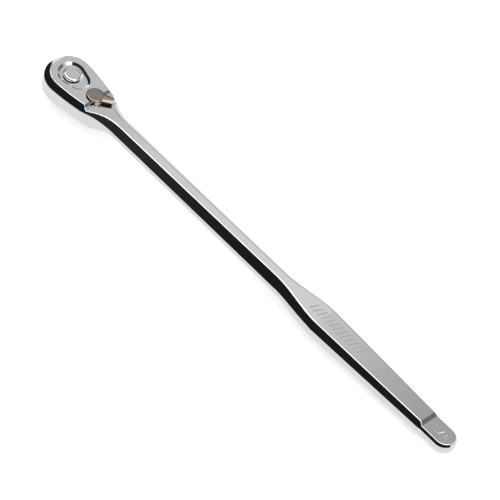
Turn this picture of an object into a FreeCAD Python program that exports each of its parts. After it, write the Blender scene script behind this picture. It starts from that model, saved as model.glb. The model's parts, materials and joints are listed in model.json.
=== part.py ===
"""Reversible ratchet wrench with a 3/8 in square drive, a long one-piece handle and a quick-release button.

Frame: millimetres, +Z up out of the button, +X from the drive axis to the tail of the handle.
The origin lies on the drive axis, in the shoulder plane that a socket seats against.
"""

import FreeCAD
import Part
import math
import os

V = FreeCAD.Vector
UP = V(0, 0, 1)

# ---- driving dimensions -------------------------------------------------------------------------
# Fits and clearances
RUNNING = 0.05           # radial clearance of a shaft that turns in a hole
SLIDING = 0.07           # radial clearance of a pin that slides
PRESSED = 0.01           # radial clearance of a pin that stays put
GAP = 0.10               # free space between faces that don't bear on each other
LOOSE = 0.30             # free space around swinging pieces

# Square drive
DRIVE_FLATS = 9.5        # across the flats of the male square
DRIVE_LENGTH = 11.0      # from the shoulder to the end of the square
DRIVE_CORNER = 0.9       # chamfer on the four long corners
DRIVE_LEAD = 0.7         # lead-in chamfer at the end

# Gear
TEETH = 72
GEAR_RADIUS = 11.4       # over the tips
TOOTH_DEPTH = 0.55
TOOTH_CLEARANCE = 0.08
GEAR_ROOM = 0.6          # free space round the tips
JOURNAL_RADIUS = 9.6
JOURNAL_HEIGHT = 1.5
HUB_RADIUS = 8.2
HUB_STANDOUT = 0.6       # the shoulder stands this far out of the cover plate

# Washers and seal rings
THRUST_WASHER = 0.45     # thickness, above the gear
DRAG_WASHER = 0.40       # thickness, below the gear
SEAL_WIRE = 0.42         # section radius of the seal rings
SEAL_ROOM = 0.02         # free space round them in their grooves

# Head
HEAD_THICKNESS = 15.2
HEAD_WALL = 4.9          # metal between the gear's chamber and the outside
HEAD_CENTRE_X = -1.4     # centre of the nose arc
SIDE_ANGLE = 3.0         # the sides leave the nose arc at this angle
SIDE_RADIUS = 150.0      # and then bend in slowly
BEVEL_OUT = 3.2          # top bevel, measured outwards
BEVEL_DOWN = 4.6         # top bevel, measured downwards
LOW_BEVEL = 1.0          # bevel round the underside
NOSE_LINE = 4.5          # length of the flat that slopes down to the nose
NOSE_SLOPE = 26.0        # degrees that the nose flat falls
STEP_LENGTH = 3.6        # run of the hollow that falls from the head to the neck
STEP_BEHIND = 1.2        # the head's top face ends this far behind the lever's axis
NECK_RISE = 5.1          # half of the neck's thickness, behind that hollow
NECK_BEVEL = 1.5         # bevel there, measured outwards and downwards
EDGE_ROUND = 0.6

# Handle
HANDLE_LENGTH = 361.9    # from the drive axis to the end of the tail
SHAFT_START_X = 47.0
FLARE_START_X = 198.0    # where the shaft starts to widen into the grip
GRIP_START_X = 240.0
TAIL_LENGTH = 25.1       # thin tab behind the grip
TAIL_STEP_RUN = 2.4
TAIL_HALF_WIDTH = 8.4
SHAFT_FRONT = (3.0, 7.6)   # half-widths of the shaft's front end: the flat on top, and across the sides
SHAFT_BACK = (3.1, 7.8)    # and of its rear end
SHAFT_RISE = 5.7         # half of the shaft's thickness in front
SHAFT_BACK_RISE = 7.6    # and behind
SHAFT_WALL = 1.8         # half of the height of its upright sides
SHAFT_EDGE = 1.3         # rounding of its top and bottom edges
SIDE_EDGE = 1.4          # rounding where its bevels meet the upright sides
GRIP_FRONT = (8.3, 11.9)
GRIP_BACK = (6.3, 8.9)
GRIP_RISE = 7.7
GRIP_BACK_RISE = 6.7
GRIP_WALL = 2.7
GRIP_BACK_WALL = 2.2
GRIP_EDGE = 1.2
TAIL_FLAT = 7.1
TAIL_RISE = 4.5
TAIL_WALL = 2.3
TAIL_EDGE = 0.8
NECK_EASE = 2.2          # how quickly the head's width gives way to the shaft's

# Dish and button
DISH_DEPTH = 1.3
DISH_FRONT_X = -0.9
DISH_FRONT_R = 9.3
DISH_REAR_X = 5.9
DISH_REAR_R = 7.6
DISH_WALL = 1.6          # run of the dish's sloping wall
CEILING_WALL = 2.2       # metal between the dish and the gear
BUTTON_RADIUS = 5.9
BUTTON_GAP = 0.8
BUTTON_STANDOUT = 0.7    # above the head's top face
BUTTON_FLAT = 4.3        # radius of the flat on top
BUTTON_WALL = 3.6        # height of the button's round side
BUTTON_CROWN = 1.9       # metal above the button's bore
BUTTON_TRAVEL = 2.4
SKIRT_RADIUS = 4.9
SKIRT_BORE = 4.1
FLANGE_RADIUS = 5.5
FLANGE_THICK = 0.8
RING_THICK = 0.6         # snap ring that holds the button in
RING_GROOVE = 0.4        # depth of the groove that it snaps into
RING_OPENING = 2.4       # between the snap ring's ends

# Quick release
BALL_RADIUS = 1.6
BALL_STANDOUT = 0.75     # above the square's flat
BALL_DEPTH = 5.2         # below the shoulder
BALL_TRAVEL = 0.86
PIN_RADIUS = 2.25
PIN_NECK = 1.35
PIN_LAND = 1.4           # length of full radius below the ramp
SPIGOT_RADIUS = 1.5
SPIGOT_LENGTH = 0.9
RELEASE_WIRE = 0.35      # section radius
RELEASE_COILS = 5
RELEASE_FLOOR = 3.0      # level of the spring's seat

# Reversing lever
LEVER_REST = 35.0        # degrees from the handle's centre line
LEVER_DISC_R = 5.9
LEVER_FLAT_R = 4.6
LEVER_STANDOUT = 1.2     # above the head's top face
LEVER_REACH = 12.2       # from the axis to the end of the thumb tab
LEVER_ROUND = 0.4
TAB_ROOT = (2.6, 3.4)    # half-widths at the disc, of the flat on top and of the whole tab
TAB_TIP = (0.7, 2.6)     # half-widths at the end, likewise
TAB_RIDGE = 0.8          # height of the tab's sloping shoulders
TAB_DIP = 0.4            # the end lies this far below the disc
POCKET_GAP = 0.4         # between the disc and the wall of its pocket
POCKET_SINK = 0.5        # the pocket's floor lies this far below the neck
STEM_RADIUS = 3.0
CLIP_RADIUS = 4.5
CLIP_THICK = 0.6
CLIP_GROOVE = 0.5        # depth of the groove in the stem that the clip sits in

# Spring plunger in the lever's stem
PLUNGER_RADIUS = 1.2
PLUNGER_REACH = 5.0      # from the lever's axis to the tip
PLUNGER_LENGTH = 3.3
PLUNGER_WIRE = 0.17      # section radius
PLUNGER_COILS = 4
PLUNGER_SEAT = 1.8       # the spring's seat lies this far behind the axis

# Pawl
PAWL_BACK = 2.8          # from the gear's tips to the pawl's pivot
PAWL_LEVER = 7.5         # from the pawl's pivot to the lever's axis
PAWL_PIN_R = 1.25
PAWL_PIN_GRIP = 1.4      # length held at each end
PAWL_ROCK = 6.0          # degrees each way from the middle
PAWL_THICK = 2.6         # from the gear's tips to the back of the arms
PAWL_SPAN = 40.0         # half the angle that the pawl wraps round the gear
PAWL_TOOTH_FROM = 20.0   # its teeth lie between this angle and the span
BOSS_HALF_WIDTH = 3.3
BOSS_LENGTH = 3.4        # behind the pivot

# Cover plate and its screws
COVER_THICK = 1.8
COVER_INSET = 1.2        # from the head's outline to the plate's edge
COVER_END = 6.4          # behind the lever's axis
COVER_END_R = 6.5
SCREW_RADIUS = 1.25
SCREW_HEAD_R = 2.1
SCREW_HEAD_H = 0.85
SCREW_LENGTH = 7.0
SCREW_HEX = 0.75         # radius of the key socket
SCREW_KEY_DEPTH = 0.8
SCREW_RIM = 0.15         # upright edge of the screw's head
SCREW_SIDE = 9.2         # the rear screws' distance from the centre line
SCREW_FORE = 0.5         # and how far they sit in front of the lever's axis

# Marks
GROOVES = 13
GROOVE_PITCH = 3.7
GROOVE_WIDTH = 1.3
GROOVE_LENGTH = 7.4
GROOVE_SLANT = 22.0
GROOVE_DEPTH = 0.35
GROOVE_START_X = 230.0
NUMERAL_RADIUS = 1.35    # of the round strokes
NUMERAL_STROKE = 0.6
NUMERAL_DEPTH = 0.3

# ---- places that follow from them ---------------------------------------------------------------
HEAD_BOTTOM = HUB_STANDOUT
HEAD_TOP = HEAD_BOTTOM + HEAD_THICKNESS
MID_Z = (HEAD_BOTTOM + HEAD_TOP) / 2
NECK_TOP = MID_Z + NECK_RISE
DISH_FLOOR = HEAD_TOP - DISH_DEPTH
CEILING = DISH_FLOOR - CEILING_WALL
GEAR_TOP = CEILING - THRUST_WASHER - RUNNING
ROOF = GEAR_TOP - JOURNAL_HEIGHT          # underside of the metal over the teeth and the pawl
TOOTH_TOP = ROOF - GAP
COVER_TOP = HEAD_BOTTOM + COVER_THICK
GEAR_BOTTOM = COVER_TOP + DRAG_WASHER + RUNNING
CAVITY_RADIUS = GEAR_RADIUS + GEAR_ROOM
HEAD_RADIUS = CAVITY_RADIUS + HEAD_WALL
NOSE_LINE_X = HEAD_CENTRE_X - HEAD_RADIUS + NOSE_LINE
PAWL_X = GEAR_RADIUS + PAWL_BACK
LEVER_X = PAWL_X + PAWL_LEVER
HEAD_FLAT_END_X = LEVER_X + STEP_BEHIND
NECK_START_X = HEAD_FLAT_END_X + STEP_LENGTH
GRIP_END_X = HANDLE_LENGTH - TAIL_LENGTH
TAIL_CENTRE_X = HANDLE_LENGTH - TAIL_HALF_WIDTH
HOLE_RADIUS = BUTTON_RADIUS + BUTTON_GAP
BUTTON_TOP = HEAD_TOP + BUTTON_STANDOUT
BUTTON_BOTTOM = BUTTON_TOP - BUTTON_WALL
BUTTON_BORE_TOP = BUTTON_TOP - BUTTON_CROWN
COUNTERBORE_R = BUTTON_RADIUS + LOOSE
COUNTERBORE_Z = BUTTON_BOTTOM - BUTTON_TRAVEL - GAP
RING_TOP = COUNTERBORE_Z - GAP
RING_BOTTOM = RING_TOP - RING_THICK
FLANGE_TOP = RING_BOTTOM - GAP
FLANGE_BOTTOM = FLANGE_TOP - FLANGE_THICK
WELL_RADIUS = FLANGE_RADIUS + LOOSE
RING_GROOVE_R = WELL_RADIUS + RING_GROOVE
WELL_Z = FLANGE_BOTTOM - BUTTON_TRAVEL - GAP
SPRING_WELL_R = SKIRT_BORE
SPRING_MEAN_R = (PIN_RADIUS + SKIRT_BORE) / 2
BALL_CENTRE = DRIVE_FLATS / 2 + BALL_STANDOUT - BALL_RADIUS
RAMP_RATIO = BALL_TRAVEL / BUTTON_TRAVEL  # the ball sinks this much for each millimetre of press
POCKET_FLOOR = NECK_TOP - POCKET_SINK
LEVER_TOP = HEAD_TOP + LEVER_STANDOUT
LEVER_MID_Z = (COVER_TOP + ROOF) / 2
PAWL_OUTER = GEAR_RADIUS + PAWL_THICK
ARM_SWING = math.radians(PAWL_ROCK) * PAWL_OUTER * math.sin(math.radians(PAWL_SPAN))
BOSS_SWING = math.radians(PAWL_ROCK) * BOSS_LENGTH
CHAMBER_RADIUS = PAWL_OUTER + ARM_SWING + LOOSE
COVER_FRONT_R = HEAD_RADIUS - COVER_INSET
SCREW_REAR_X = LEVER_X - SCREW_FORE
SCREW_NOSE_X = HEAD_CENTRE_X - COVER_FRONT_R + SCREW_HEAD_R + LOOSE


# ---- small helpers ------------------------------------------------------------------------------
def cylinder(radius, low, high, x=0.0, y=0.0):
    return Part.makeCylinder(radius, high - low, V(x, y, low))


def ring(outer, inner, low, high, x=0.0, y=0.0):
    return cylinder(outer, low, high, x, y).cut(cylinder(inner, low - 1, high + 1, x, y))


def block(x_low, x_high, half_width, low, high):
    return Part.makeBox(x_high - x_low, 2 * half_width, high - low, V(x_low, -half_width, low))


def sector(radius, half_angle, low, high):
    """Pie slice about the Z axis that opens towards +X."""
    pie = Part.makeCylinder(radius, high - low, V(0, 0, low), UP, 2 * half_angle)
    return turned_by(pie, -half_angle)


def turned_by(shape, degrees, x=0.0):
    """A copy turned about the vertical through (x, 0)."""
    copy = shape.copy()
    copy.rotate(V(x, 0, 0), UP, degrees)
    return copy


def moved(shape, x=0.0, y=0.0, z=0.0):
    copy = shape.copy()
    copy.translate(V(x, y, z))
    return copy


def lathe(profile, x=0.0):
    """Solid of revolution about the vertical through (x, 0), from (radius, z) corners."""
    points = [V(x + r, 0, z) for r, z in profile]
    face = Part.Face(Part.makePolygon(points + [points[0]]))
    return face.revolve(V(x, 0, 0), UP, 360)


def prism(wire, low, high):
    """Upright prism on a closed wire that lies at z = 0."""
    face = Part.Face(wire)
    face.translate(V(0, 0, low))
    return face.extrude(V(0, 0, high - low))


def one_solid(shape):
    """The single solid that a union is expected to leave."""
    clean = shape.removeSplitter()
    if len(clean.Solids) != 1:
        raise ValueError("expected one solid, got %d" % len(clean.Solids))
    return clean.Solids[0]


def torus(mean_radius, wire_radius, z, x=0.0):
    return Part.makeTorus(mean_radius, wire_radius, V(x, 0, z), UP)


def rounded_wire(corners, radii):
    """Closed wire through the corners, each replaced by a tangent arc of its radius (0 keeps it sharp)."""
    count = len(corners)
    ends = []
    arcs = []
    for i, corner in enumerate(corners):
        before = (corners[i - 1] - corner).normalize()
        after = (corners[(i + 1) % count] - corner).normalize()
        half = before.getAngle(after) / 2
        if radii[i] <= 0 or abs(half - math.pi / 2) < 1e-6:
            ends.append((corner, corner))
            arcs.append(None)
            continue
        back = radii[i] / math.tan(half)
        start = corner + before * back
        end = corner + after * back
        inward = (before + after).normalize()
        middle = corner + inward * (radii[i] / math.sin(half) - radii[i])
        ends.append((start, end))
        arcs.append(Part.Arc(start, middle, end).toShape())
    edges = []
    for i in range(count):
        if arcs[i] is not None:
            edges.append(arcs[i])
        start = ends[i][1]
        end = ends[(i + 1) % count][0]
        if (end - start).Length > 1e-7:
            edges.append(Part.LineSegment(start, end).toShape())
    return Part.Wire(edges)


def coil(mean_radius, wire_radius, coils, length):
    """Round-wire compression spring that stands on z = 0, about the Z axis."""
    rise = length - 2 * wire_radius
    path = Part.makeHelix(rise / coils, rise, mean_radius)
    path.translate(V(0, 0, wire_radius))
    section = Part.Wire(Part.makeCircle(wire_radius, V(mean_radius, 0, wire_radius), V(0, 1, 0)))
    return Part.Wire(path).makePipeShell([section], True, True)


# ---- outside of the forging ---------------------------------------------------------------------
def station(x, flat, half, top, bevel_foot, wall_foot, bottom, bottom_flat, edge, side):
    """One cross-section of the forging: corners of its right half and how far each is rounded."""
    corners = [(flat, top), (half, bevel_foot), (half, wall_foot), (bottom_flat, bottom)]
    return {"x": x, "corners": corners, "radii": [edge, side, side, edge]}


def level_station(x, half_widths, rise, wall, edge, side):
    """A cross-section that is the same above and below the parting plane."""
    flat, half = half_widths
    return station(x, flat, half, MID_Z + rise, MID_Z + wall, MID_Z - wall, MID_Z - rise, flat, edge, side)


def between(a, b, share, upper_share, x):
    """Cross-section part of the way from one to the next; its upper corners have their own share of width."""
    corners = []
    widths = [upper_share, upper_share, share, share]
    for (y, z), (next_y, next_z), across in zip(a["corners"], b["corners"], widths):
        corners.append((y + (next_y - y) * across, z + (next_z - z) * share))
    radii = [p + (q - p) * share for p, q in zip(a["radii"], b["radii"])]
    return {"x": x, "corners": corners, "radii": radii}


def gentle(t):
    """Share that starts and ends without a kink."""
    return t * t * (3 - 2 * t)


def quick(t):
    """Share that starts at once and settles slowly."""
    return 1 - (1 - t) ** NECK_EASE


def series(a, b, steps, ease_upper):
    """Evenly spaced cross-sections from a to b."""
    run = b["x"] - a["x"]
    shares = [i / steps for i in range(steps + 1)]
    return [between(a, b, gentle(t), ease_upper(t), a["x"] + run * t) for t in shares]


def section_wire(s):
    right = [V(s["x"], y, z) for y, z in s["corners"]]
    left = [V(p.x, -p.y, p.z) for p in reversed(right)]
    return rounded_wire(right + left, s["radii"] + s["radii"][::-1])


def end_cap(s, angle):
    """Round end made by turning the right half of a cross-section about the vertical in its plane."""
    x = s["x"]
    top = s["corners"][0][1]
    bottom = s["corners"][-1][1]
    corners = [V(x, 0, top)] + [V(x, y, z) for y, z in s["corners"]] + [V(x, 0, bottom)]
    face = Part.Face(rounded_wire(corners, [0] + s["radii"] + [0]))
    return face.revolve(V(x, 0, 0), UP, angle)


def loft(stations, ruled=False):
    return Part.makeLoft([section_wire(s) for s in stations], True, ruled)


def head_half_width(x):
    """Half-width of the head's outline: the nose arc, then sides that bend in slowly."""
    angle = math.radians(SIDE_ANGLE)
    tangent_x = HEAD_CENTRE_X + HEAD_RADIUS * math.sin(angle)
    if x <= tangent_x:
        return math.sqrt(HEAD_RADIUS ** 2 - (x - HEAD_CENTRE_X) ** 2)
    run = x - tangent_x
    return HEAD_RADIUS * math.cos(angle) - run * math.tan(angle) - run ** 2 / (2 * SIDE_RADIUS)


def head_station(x):
    half = head_half_width(x)
    return station(x, half - BEVEL_OUT, half, HEAD_TOP, HEAD_TOP - BEVEL_DOWN, HEAD_BOTTOM + LOW_BEVEL,
                   HEAD_BOTTOM, half - LOW_BEVEL, EDGE_ROUND, EDGE_ROUND)


def step_station(share):
    """The hollow behind the head's top face, from share 0 at the face to 1 at the neck."""
    x = HEAD_FLAT_END_X + share * STEP_LENGTH
    fall = 1 - (1 - share) ** 2
    top = HEAD_TOP + (NECK_TOP - HEAD_TOP) * fall
    half = head_half_width(x)
    flat = half - BEVEL_OUT + (BEVEL_OUT - NECK_BEVEL) * fall
    head_foot = HEAD_TOP - BEVEL_DOWN
    foot = head_foot + (NECK_TOP - NECK_BEVEL - head_foot) * fall
    return station(x, flat, half, top, foot, HEAD_BOTTOM + LOW_BEVEL, HEAD_BOTTOM, half - LOW_BEVEL,
                   EDGE_ROUND, EDGE_ROUND)


def forging_outside():
    steps = 8
    head_run = HEAD_FLAT_END_X - HEAD_CENTRE_X
    head = [head_station(HEAD_CENTRE_X + head_run * i / steps) for i in range(steps + 1)]
    step = [step_station(share) for share in (0.0, 0.25, 0.5, 0.75, 1.0)]
    shaft_start = level_station(SHAFT_START_X, SHAFT_FRONT, SHAFT_RISE, SHAFT_WALL, SHAFT_EDGE, SIDE_EDGE)
    shaft_end = level_station(FLARE_START_X, SHAFT_BACK, SHAFT_BACK_RISE, SHAFT_WALL, SHAFT_EDGE, SIDE_EDGE)
    grip_start = level_station(GRIP_START_X, GRIP_FRONT, GRIP_RISE, GRIP_WALL, GRIP_EDGE, SIDE_EDGE)
    grip_end = level_station(GRIP_END_X, GRIP_BACK, GRIP_BACK_RISE, GRIP_BACK_WALL, GRIP_EDGE, SIDE_EDGE)
    tail = (TAIL_FLAT, TAIL_HALF_WIDTH)
    tail_start = level_station(GRIP_END_X + TAIL_STEP_RUN, tail, TAIL_RISE, TAIL_WALL, TAIL_EDGE, TAIL_EDGE)
    tail_end = level_station(TAIL_CENTRE_X, tail, TAIL_RISE, TAIL_WALL, TAIL_EDGE, TAIL_EDGE)
    lengths = [
        end_cap(head[0], 180),
        loft(head),
        loft(step),
        loft(series(step[-1], shaft_start, 10, quick)),
        loft([shaft_start, shaft_end], True),
        loft(series(shaft_end, grip_start, 10, gentle)),
        loft([grip_start, grip_end], True),
        loft([grip_end, tail_start], True),
        loft([tail_start, tail_end], True),
        end_cap(tail_end, -180),
    ]
    return one_solid(lengths[0].multiFuse(lengths[1:]))


def nose_flat():
    """Wedge of metal above the flat that slopes down to the nose."""
    wedge = Part.makeBox(40, 60, 20, V(-40, -30, 0))
    wedge.rotate(V(0, 0, 0), V(0, 1, 0), -NOSE_SLOPE)
    return moved(wedge, NOSE_LINE_X, 0, HEAD_TOP)


def egg_wire(front_r, rear_r, z):
    """Outline of the dish: a large front arc and a small rear arc joined by their common tangents."""
    run = DISH_REAR_X - DISH_FRONT_X
    lean = math.asin((front_r - rear_r) / run)
    front = V(DISH_FRONT_X + front_r * math.sin(lean), front_r * math.cos(lean), z)
    rear = V(DISH_REAR_X + rear_r * math.sin(lean), rear_r * math.cos(lean), z)
    front_low = V(front.x, -front.y, z)
    rear_low = V(rear.x, -rear.y, z)
    return Part.Wire([
        Part.Arc(front, V(DISH_FRONT_X - front_r, 0, z), front_low).toShape(),
        Part.LineSegment(front_low, rear_low).toShape(),
        Part.Arc(rear_low, V(DISH_REAR_X + rear_r, 0, z), rear).toShape(),
        Part.LineSegment(rear, front).toShape(),
    ])


def dish():
    floor = egg_wire(DISH_FRONT_R - DISH_WALL, DISH_REAR_R - DISH_WALL, DISH_FLOOR)
    rim = egg_wire(DISH_FRONT_R, DISH_REAR_R, HEAD_TOP)
    above = egg_wire(DISH_FRONT_R, DISH_REAR_R, 0)
    return Part.makeLoft([floor, rim], True, True).fuse(prism(above, HEAD_TOP, HEAD_TOP + 2))


# ---- inside of the head -------------------------------------------------------------------------
def cover_outline(clearance, low, high):
    """Teardrop that the cover plate fills: a round front, straight sides and rounded rear corners."""
    radius = COVER_FRONT_R + clearance
    end_x = LEVER_X + COVER_END + clearance
    end_half = head_half_width(NECK_START_X) - COVER_INSET + clearance
    corners = [V(HEAD_CENTRE_X, radius, 0), V(HEAD_CENTRE_X, -radius, 0), V(end_x, -end_half, 0),
               V(end_x, end_half, 0)]
    rear = prism(rounded_wire(corners, [0, 0, COVER_END_R, COVER_END_R]), low, high)
    return one_solid(cylinder(radius, low, high, HEAD_CENTRE_X).fuse(rear))


def screw_places():
    return [(SCREW_NOSE_X, 0), (SCREW_REAR_X, SCREW_SIDE), (SCREW_REAR_X, -SCREW_SIDE)]


def mechanism_space():
    """Chambers for the gear, the pawl and the lever's stem, open towards the cover plate."""
    gear = cylinder(CAVITY_RADIUS, COVER_TOP, ROOF)
    pawl = sector(CHAMBER_RADIUS, PAWL_SPAN + 10, COVER_TOP, ROOF)
    boss_half = BOSS_HALF_WIDTH + BOSS_SWING + LOOSE
    boss = block(GEAR_RADIUS, LEVER_X, boss_half, COVER_TOP, ROOF)
    sweep = cylinder(PLUNGER_REACH + LOOSE, COVER_TOP, ROOF, LEVER_X)
    sweep = sweep.common(block(PAWL_X, LEVER_X, PLUNGER_REACH + 1, COVER_TOP, ROOF))
    clip = cylinder(CLIP_RADIUS + LOOSE, COVER_TOP, ROOF, LEVER_X)
    return gear.multiFuse([pawl, boss, sweep, clip])


def tab_room():
    """Room for the thumb tab at both ends of its swing, where it passes the hollow behind the head."""
    room = block(0, LEVER_REACH + LOOSE, TAB_ROOT[1] + LOOSE, NECK_TOP + LOOSE, HEAD_TOP + 2)
    return [moved(turned_by(room, side * LEVER_REST), LEVER_X) for side in (1, -1)]


def handle_forging():
    body = forging_outside()
    cuts = [
        nose_flat(),
        dish(),
        cylinder(HOLE_RADIUS, CEILING - 1, HEAD_TOP),
        cylinder(JOURNAL_RADIUS + RUNNING, ROOF - 1, CEILING),
        mechanism_space(),
        cover_outline(GAP, -1, COVER_TOP),
        cylinder(LEVER_DISC_R + POCKET_GAP, POCKET_FLOOR, HEAD_TOP + 2, LEVER_X),
        cylinder(STEM_RADIUS + RUNNING, ROOF - 1, POCKET_FLOOR + 1, LEVER_X),
        cylinder(PAWL_PIN_R + PRESSED, ROOF - 1, ROOF + PAWL_PIN_GRIP, PAWL_X),
    ]
    for x, y in screw_places():
        cuts.append(cylinder(SCREW_RADIUS + PRESSED, COVER_TOP - 1, HEAD_BOTTOM + SCREW_LENGTH + GAP, x, y))
    cuts.extend(tab_room())
    cuts.extend(grip_grooves())
    cuts.extend(tail_numerals())
    return one_solid(body.cut(cuts))


# ---- marks --------------------------------------------------------------------------------------
def slot(length, width, low, high):
    """Round-ended slot cutter along Y, centred on the Z axis."""
    reach = (length - width) / 2
    middle = Part.makeBox(width, 2 * reach, high - low, V(-width / 2, -reach, low))
    ends = [cylinder(width / 2, low, high, 0, y) for y in (-reach, reach)]
    return middle.multiFuse(ends).removeSplitter()


def grip_top(x):
    share = (x - GRIP_START_X) / (GRIP_END_X - GRIP_START_X)
    return MID_Z + GRIP_RISE + (GRIP_BACK_RISE - GRIP_RISE) * max(share, 0)


def grip_grooves():
    """Row of slanted grooves across the top of the grip."""
    cutters = []
    for i in range(GROOVES):
        x = GROOVE_START_X + i * GROOVE_PITCH
        floor = grip_top(x) - GROOVE_DEPTH
        cutter = turned_by(slot(GROOVE_LENGTH, GROOVE_WIDTH, floor, floor + 3), -GROOVE_SLANT)
        cutters.append(moved(cutter, x))
    return cutters


def tail_numerals():
    """The drive size, 3/8, cut into the tail from round strokes and one slanted stroke."""
    top = MID_Z + TAIL_RISE
    low = top - NUMERAL_DEPTH
    high = top + 1
    inner = NUMERAL_RADIUS - NUMERAL_STROKE
    rise = NUMERAL_RADIUS - NUMERAL_STROKE / 2
    middle_x = (GRIP_END_X + TAIL_STEP_RUN + HANDLE_LENGTH) / 2
    pair = [ring(NUMERAL_RADIUS, inner, low, high, 0, y) for y in (-rise, rise)]
    eight = pair[0].fuse(pair[1])
    opening = Part.makeBox(2, 2 * rise, 3, V(-2 - NUMERAL_STROKE / 3, -rise, low - 1))
    three = eight.cut(opening)
    bar = turned_by(slot(4 * NUMERAL_RADIUS, NUMERAL_STROKE, low, high), -22)
    spacing = 3.4 * NUMERAL_RADIUS
    return [moved(three, middle_x - spacing), moved(bar, middle_x), moved(eight, middle_x + spacing)]


# ---- cover, washers, seals and pins -------------------------------------------------------------
def cover_plate():
    cuts = [
        cylinder(HUB_RADIUS + RUNNING, 0, COVER_TOP + 1),
        ring(HUB_RADIUS + RUNNING + 2 * SEAL_WIRE + GAP / 2, HUB_RADIUS, seal_level() - SEAL_WIRE - SEAL_ROOM,
             seal_level() + SEAL_WIRE + SEAL_ROOM),
        cylinder(PAWL_PIN_R + PRESSED, COVER_TOP - PAWL_PIN_GRIP, COVER_TOP + 1, PAWL_X),
    ]
    for x, y in screw_places():
        cuts.append(moved(screw_envelope(PRESSED), x, y))
    return one_solid(cover_outline(0, HEAD_BOTTOM, COVER_TOP).cut(cuts))


def seal_level():
    return (HEAD_BOTTOM + COVER_TOP) / 2


def screw_envelope(clearance):
    """Countersunk screw that points up, with its head flush with the plate's underside."""
    head = SCREW_HEAD_R + clearance
    shank = SCREW_RADIUS + clearance
    cone_top = HEAD_BOTTOM + SCREW_HEAD_H
    return lathe([(0, HEAD_BOTTOM), (head, HEAD_BOTTOM), (head, HEAD_BOTTOM + SCREW_RIM), (shank, cone_top),
                  (shank, HEAD_BOTTOM + SCREW_LENGTH), (0, HEAD_BOTTOM + SCREW_LENGTH)])


def cover_screws():
    key = Part.makePolygon([V(SCREW_HEX * math.cos(math.pi * i / 3), SCREW_HEX * math.sin(math.pi * i / 3), 0)
                            for i in range(7)])
    screw = screw_envelope(0).cut(prism(key, HEAD_BOTTOM - 1, HEAD_BOTTOM + SCREW_KEY_DEPTH))
    return Part.makeCompound([moved(screw, x, y) for x, y in screw_places()])


def hub_seal():
    return torus(HUB_RADIUS + RUNNING + SEAL_WIRE, SEAL_WIRE, seal_level())


def thrust_washer():
    return ring(JOURNAL_RADIUS - GAP, HOLE_RADIUS, CEILING - THRUST_WASHER, CEILING)


def drag_washer():
    return ring(GEAR_RADIUS - TOOTH_DEPTH - GAP, HUB_RADIUS + GAP, COVER_TOP, COVER_TOP + DRAG_WASHER)


def pawl_pin():
    return cylinder(PAWL_PIN_R, COVER_TOP - PAWL_PIN_GRIP, ROOF + PAWL_PIN_GRIP, PAWL_X)


# ---- drive gear ---------------------------------------------------------------------------------
def gear_wire(extra):
    points = []
    for i in range(2 * TEETH):
        radius = GEAR_RADIUS + extra - (i % 2) * TOOTH_DEPTH
        angle = math.pi * i / TEETH
        points.append(V(radius * math.cos(angle), radius * math.sin(angle), 0))
    return Part.makePolygon(points + [points[0]])


def drive_square():
    half = DRIVE_FLATS / 2
    square = block(-half, half, half, -DRIVE_LENGTH, HEAD_BOTTOM)
    upright = [e for e in square.Edges if abs(e.Vertexes[0].Point.z - e.Vertexes[1].Point.z) > 1]
    square = square.makeChamfer(DRIVE_CORNER, upright)
    end = [e for e in square.Edges if e.BoundBox.ZMax < -DRIVE_LENGTH + 0.01]
    return square.makeChamfer(DRIVE_LEAD, end)


def ball_hole():
    """Radial hole whose mouth is smaller than the ball, so that the ball can't fall out."""
    radius = BALL_RADIUS + SLIDING
    bore = Part.makeCylinder(radius, BALL_CENTRE, V(0, 0, -BALL_DEPTH), V(0, -1, 0))
    return bore.fuse(Part.makeSphere(radius, V(0, -BALL_CENTRE, -BALL_DEPTH)))


def pin_bottom():
    return ramp_foot() - PIN_LAND


def ramp_foot():
    """Level where the release pin's ramp meets its full radius."""
    lean = math.atan(RAMP_RATIO)
    reach = BALL_RADIUS + RUNNING
    touch_r = BALL_CENTRE - reach * math.cos(lean)
    touch_z = -BALL_DEPTH - reach * math.sin(lean)
    return touch_z + (touch_r - PIN_RADIUS) / RAMP_RATIO


def drive_gear():
    body = prism(gear_wire(0), GEAR_BOTTOM, TOOTH_TOP)
    journal = cylinder(JOURNAL_RADIUS, TOOTH_TOP, GEAR_TOP)
    hub = cylinder(HUB_RADIUS, 0, GEAR_BOTTOM)
    body = body.multiFuse([journal, hub, drive_square()])
    cuts = [
        cylinder(COUNTERBORE_R, COUNTERBORE_Z, GEAR_TOP + 1),
        cylinder(WELL_RADIUS, WELL_Z, COUNTERBORE_Z + 1),
        cylinder(RING_GROOVE_R, RING_BOTTOM, RING_TOP),
        cylinder(SPRING_WELL_R, RELEASE_FLOOR, WELL_Z + 1),
        cylinder(PIN_RADIUS + SLIDING, pin_bottom() - BUTTON_TRAVEL - LOOSE, RELEASE_FLOOR + 1),
        ball_hole(),
    ]
    return one_solid(body.cut(cuts))


def button_ring():
    """Snap ring in the gear's bore, with a gap for the pliers."""
    whole = ring(RING_GROOVE_R - PRESSED, SKIRT_RADIUS + GAP, RING_BOTTOM, RING_TOP)
    return one_solid(whole.cut(block(0, WELL_RADIUS + 1, RING_OPENING / 2, RING_BOTTOM - 1, RING_TOP + 1)))


def release_spring():
    spring = coil(SPRING_MEAN_R, RELEASE_WIRE, RELEASE_COILS, BUTTON_BORE_TOP - RELEASE_FLOOR)
    return moved(spring, 0, 0, RELEASE_FLOOR)


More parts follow.
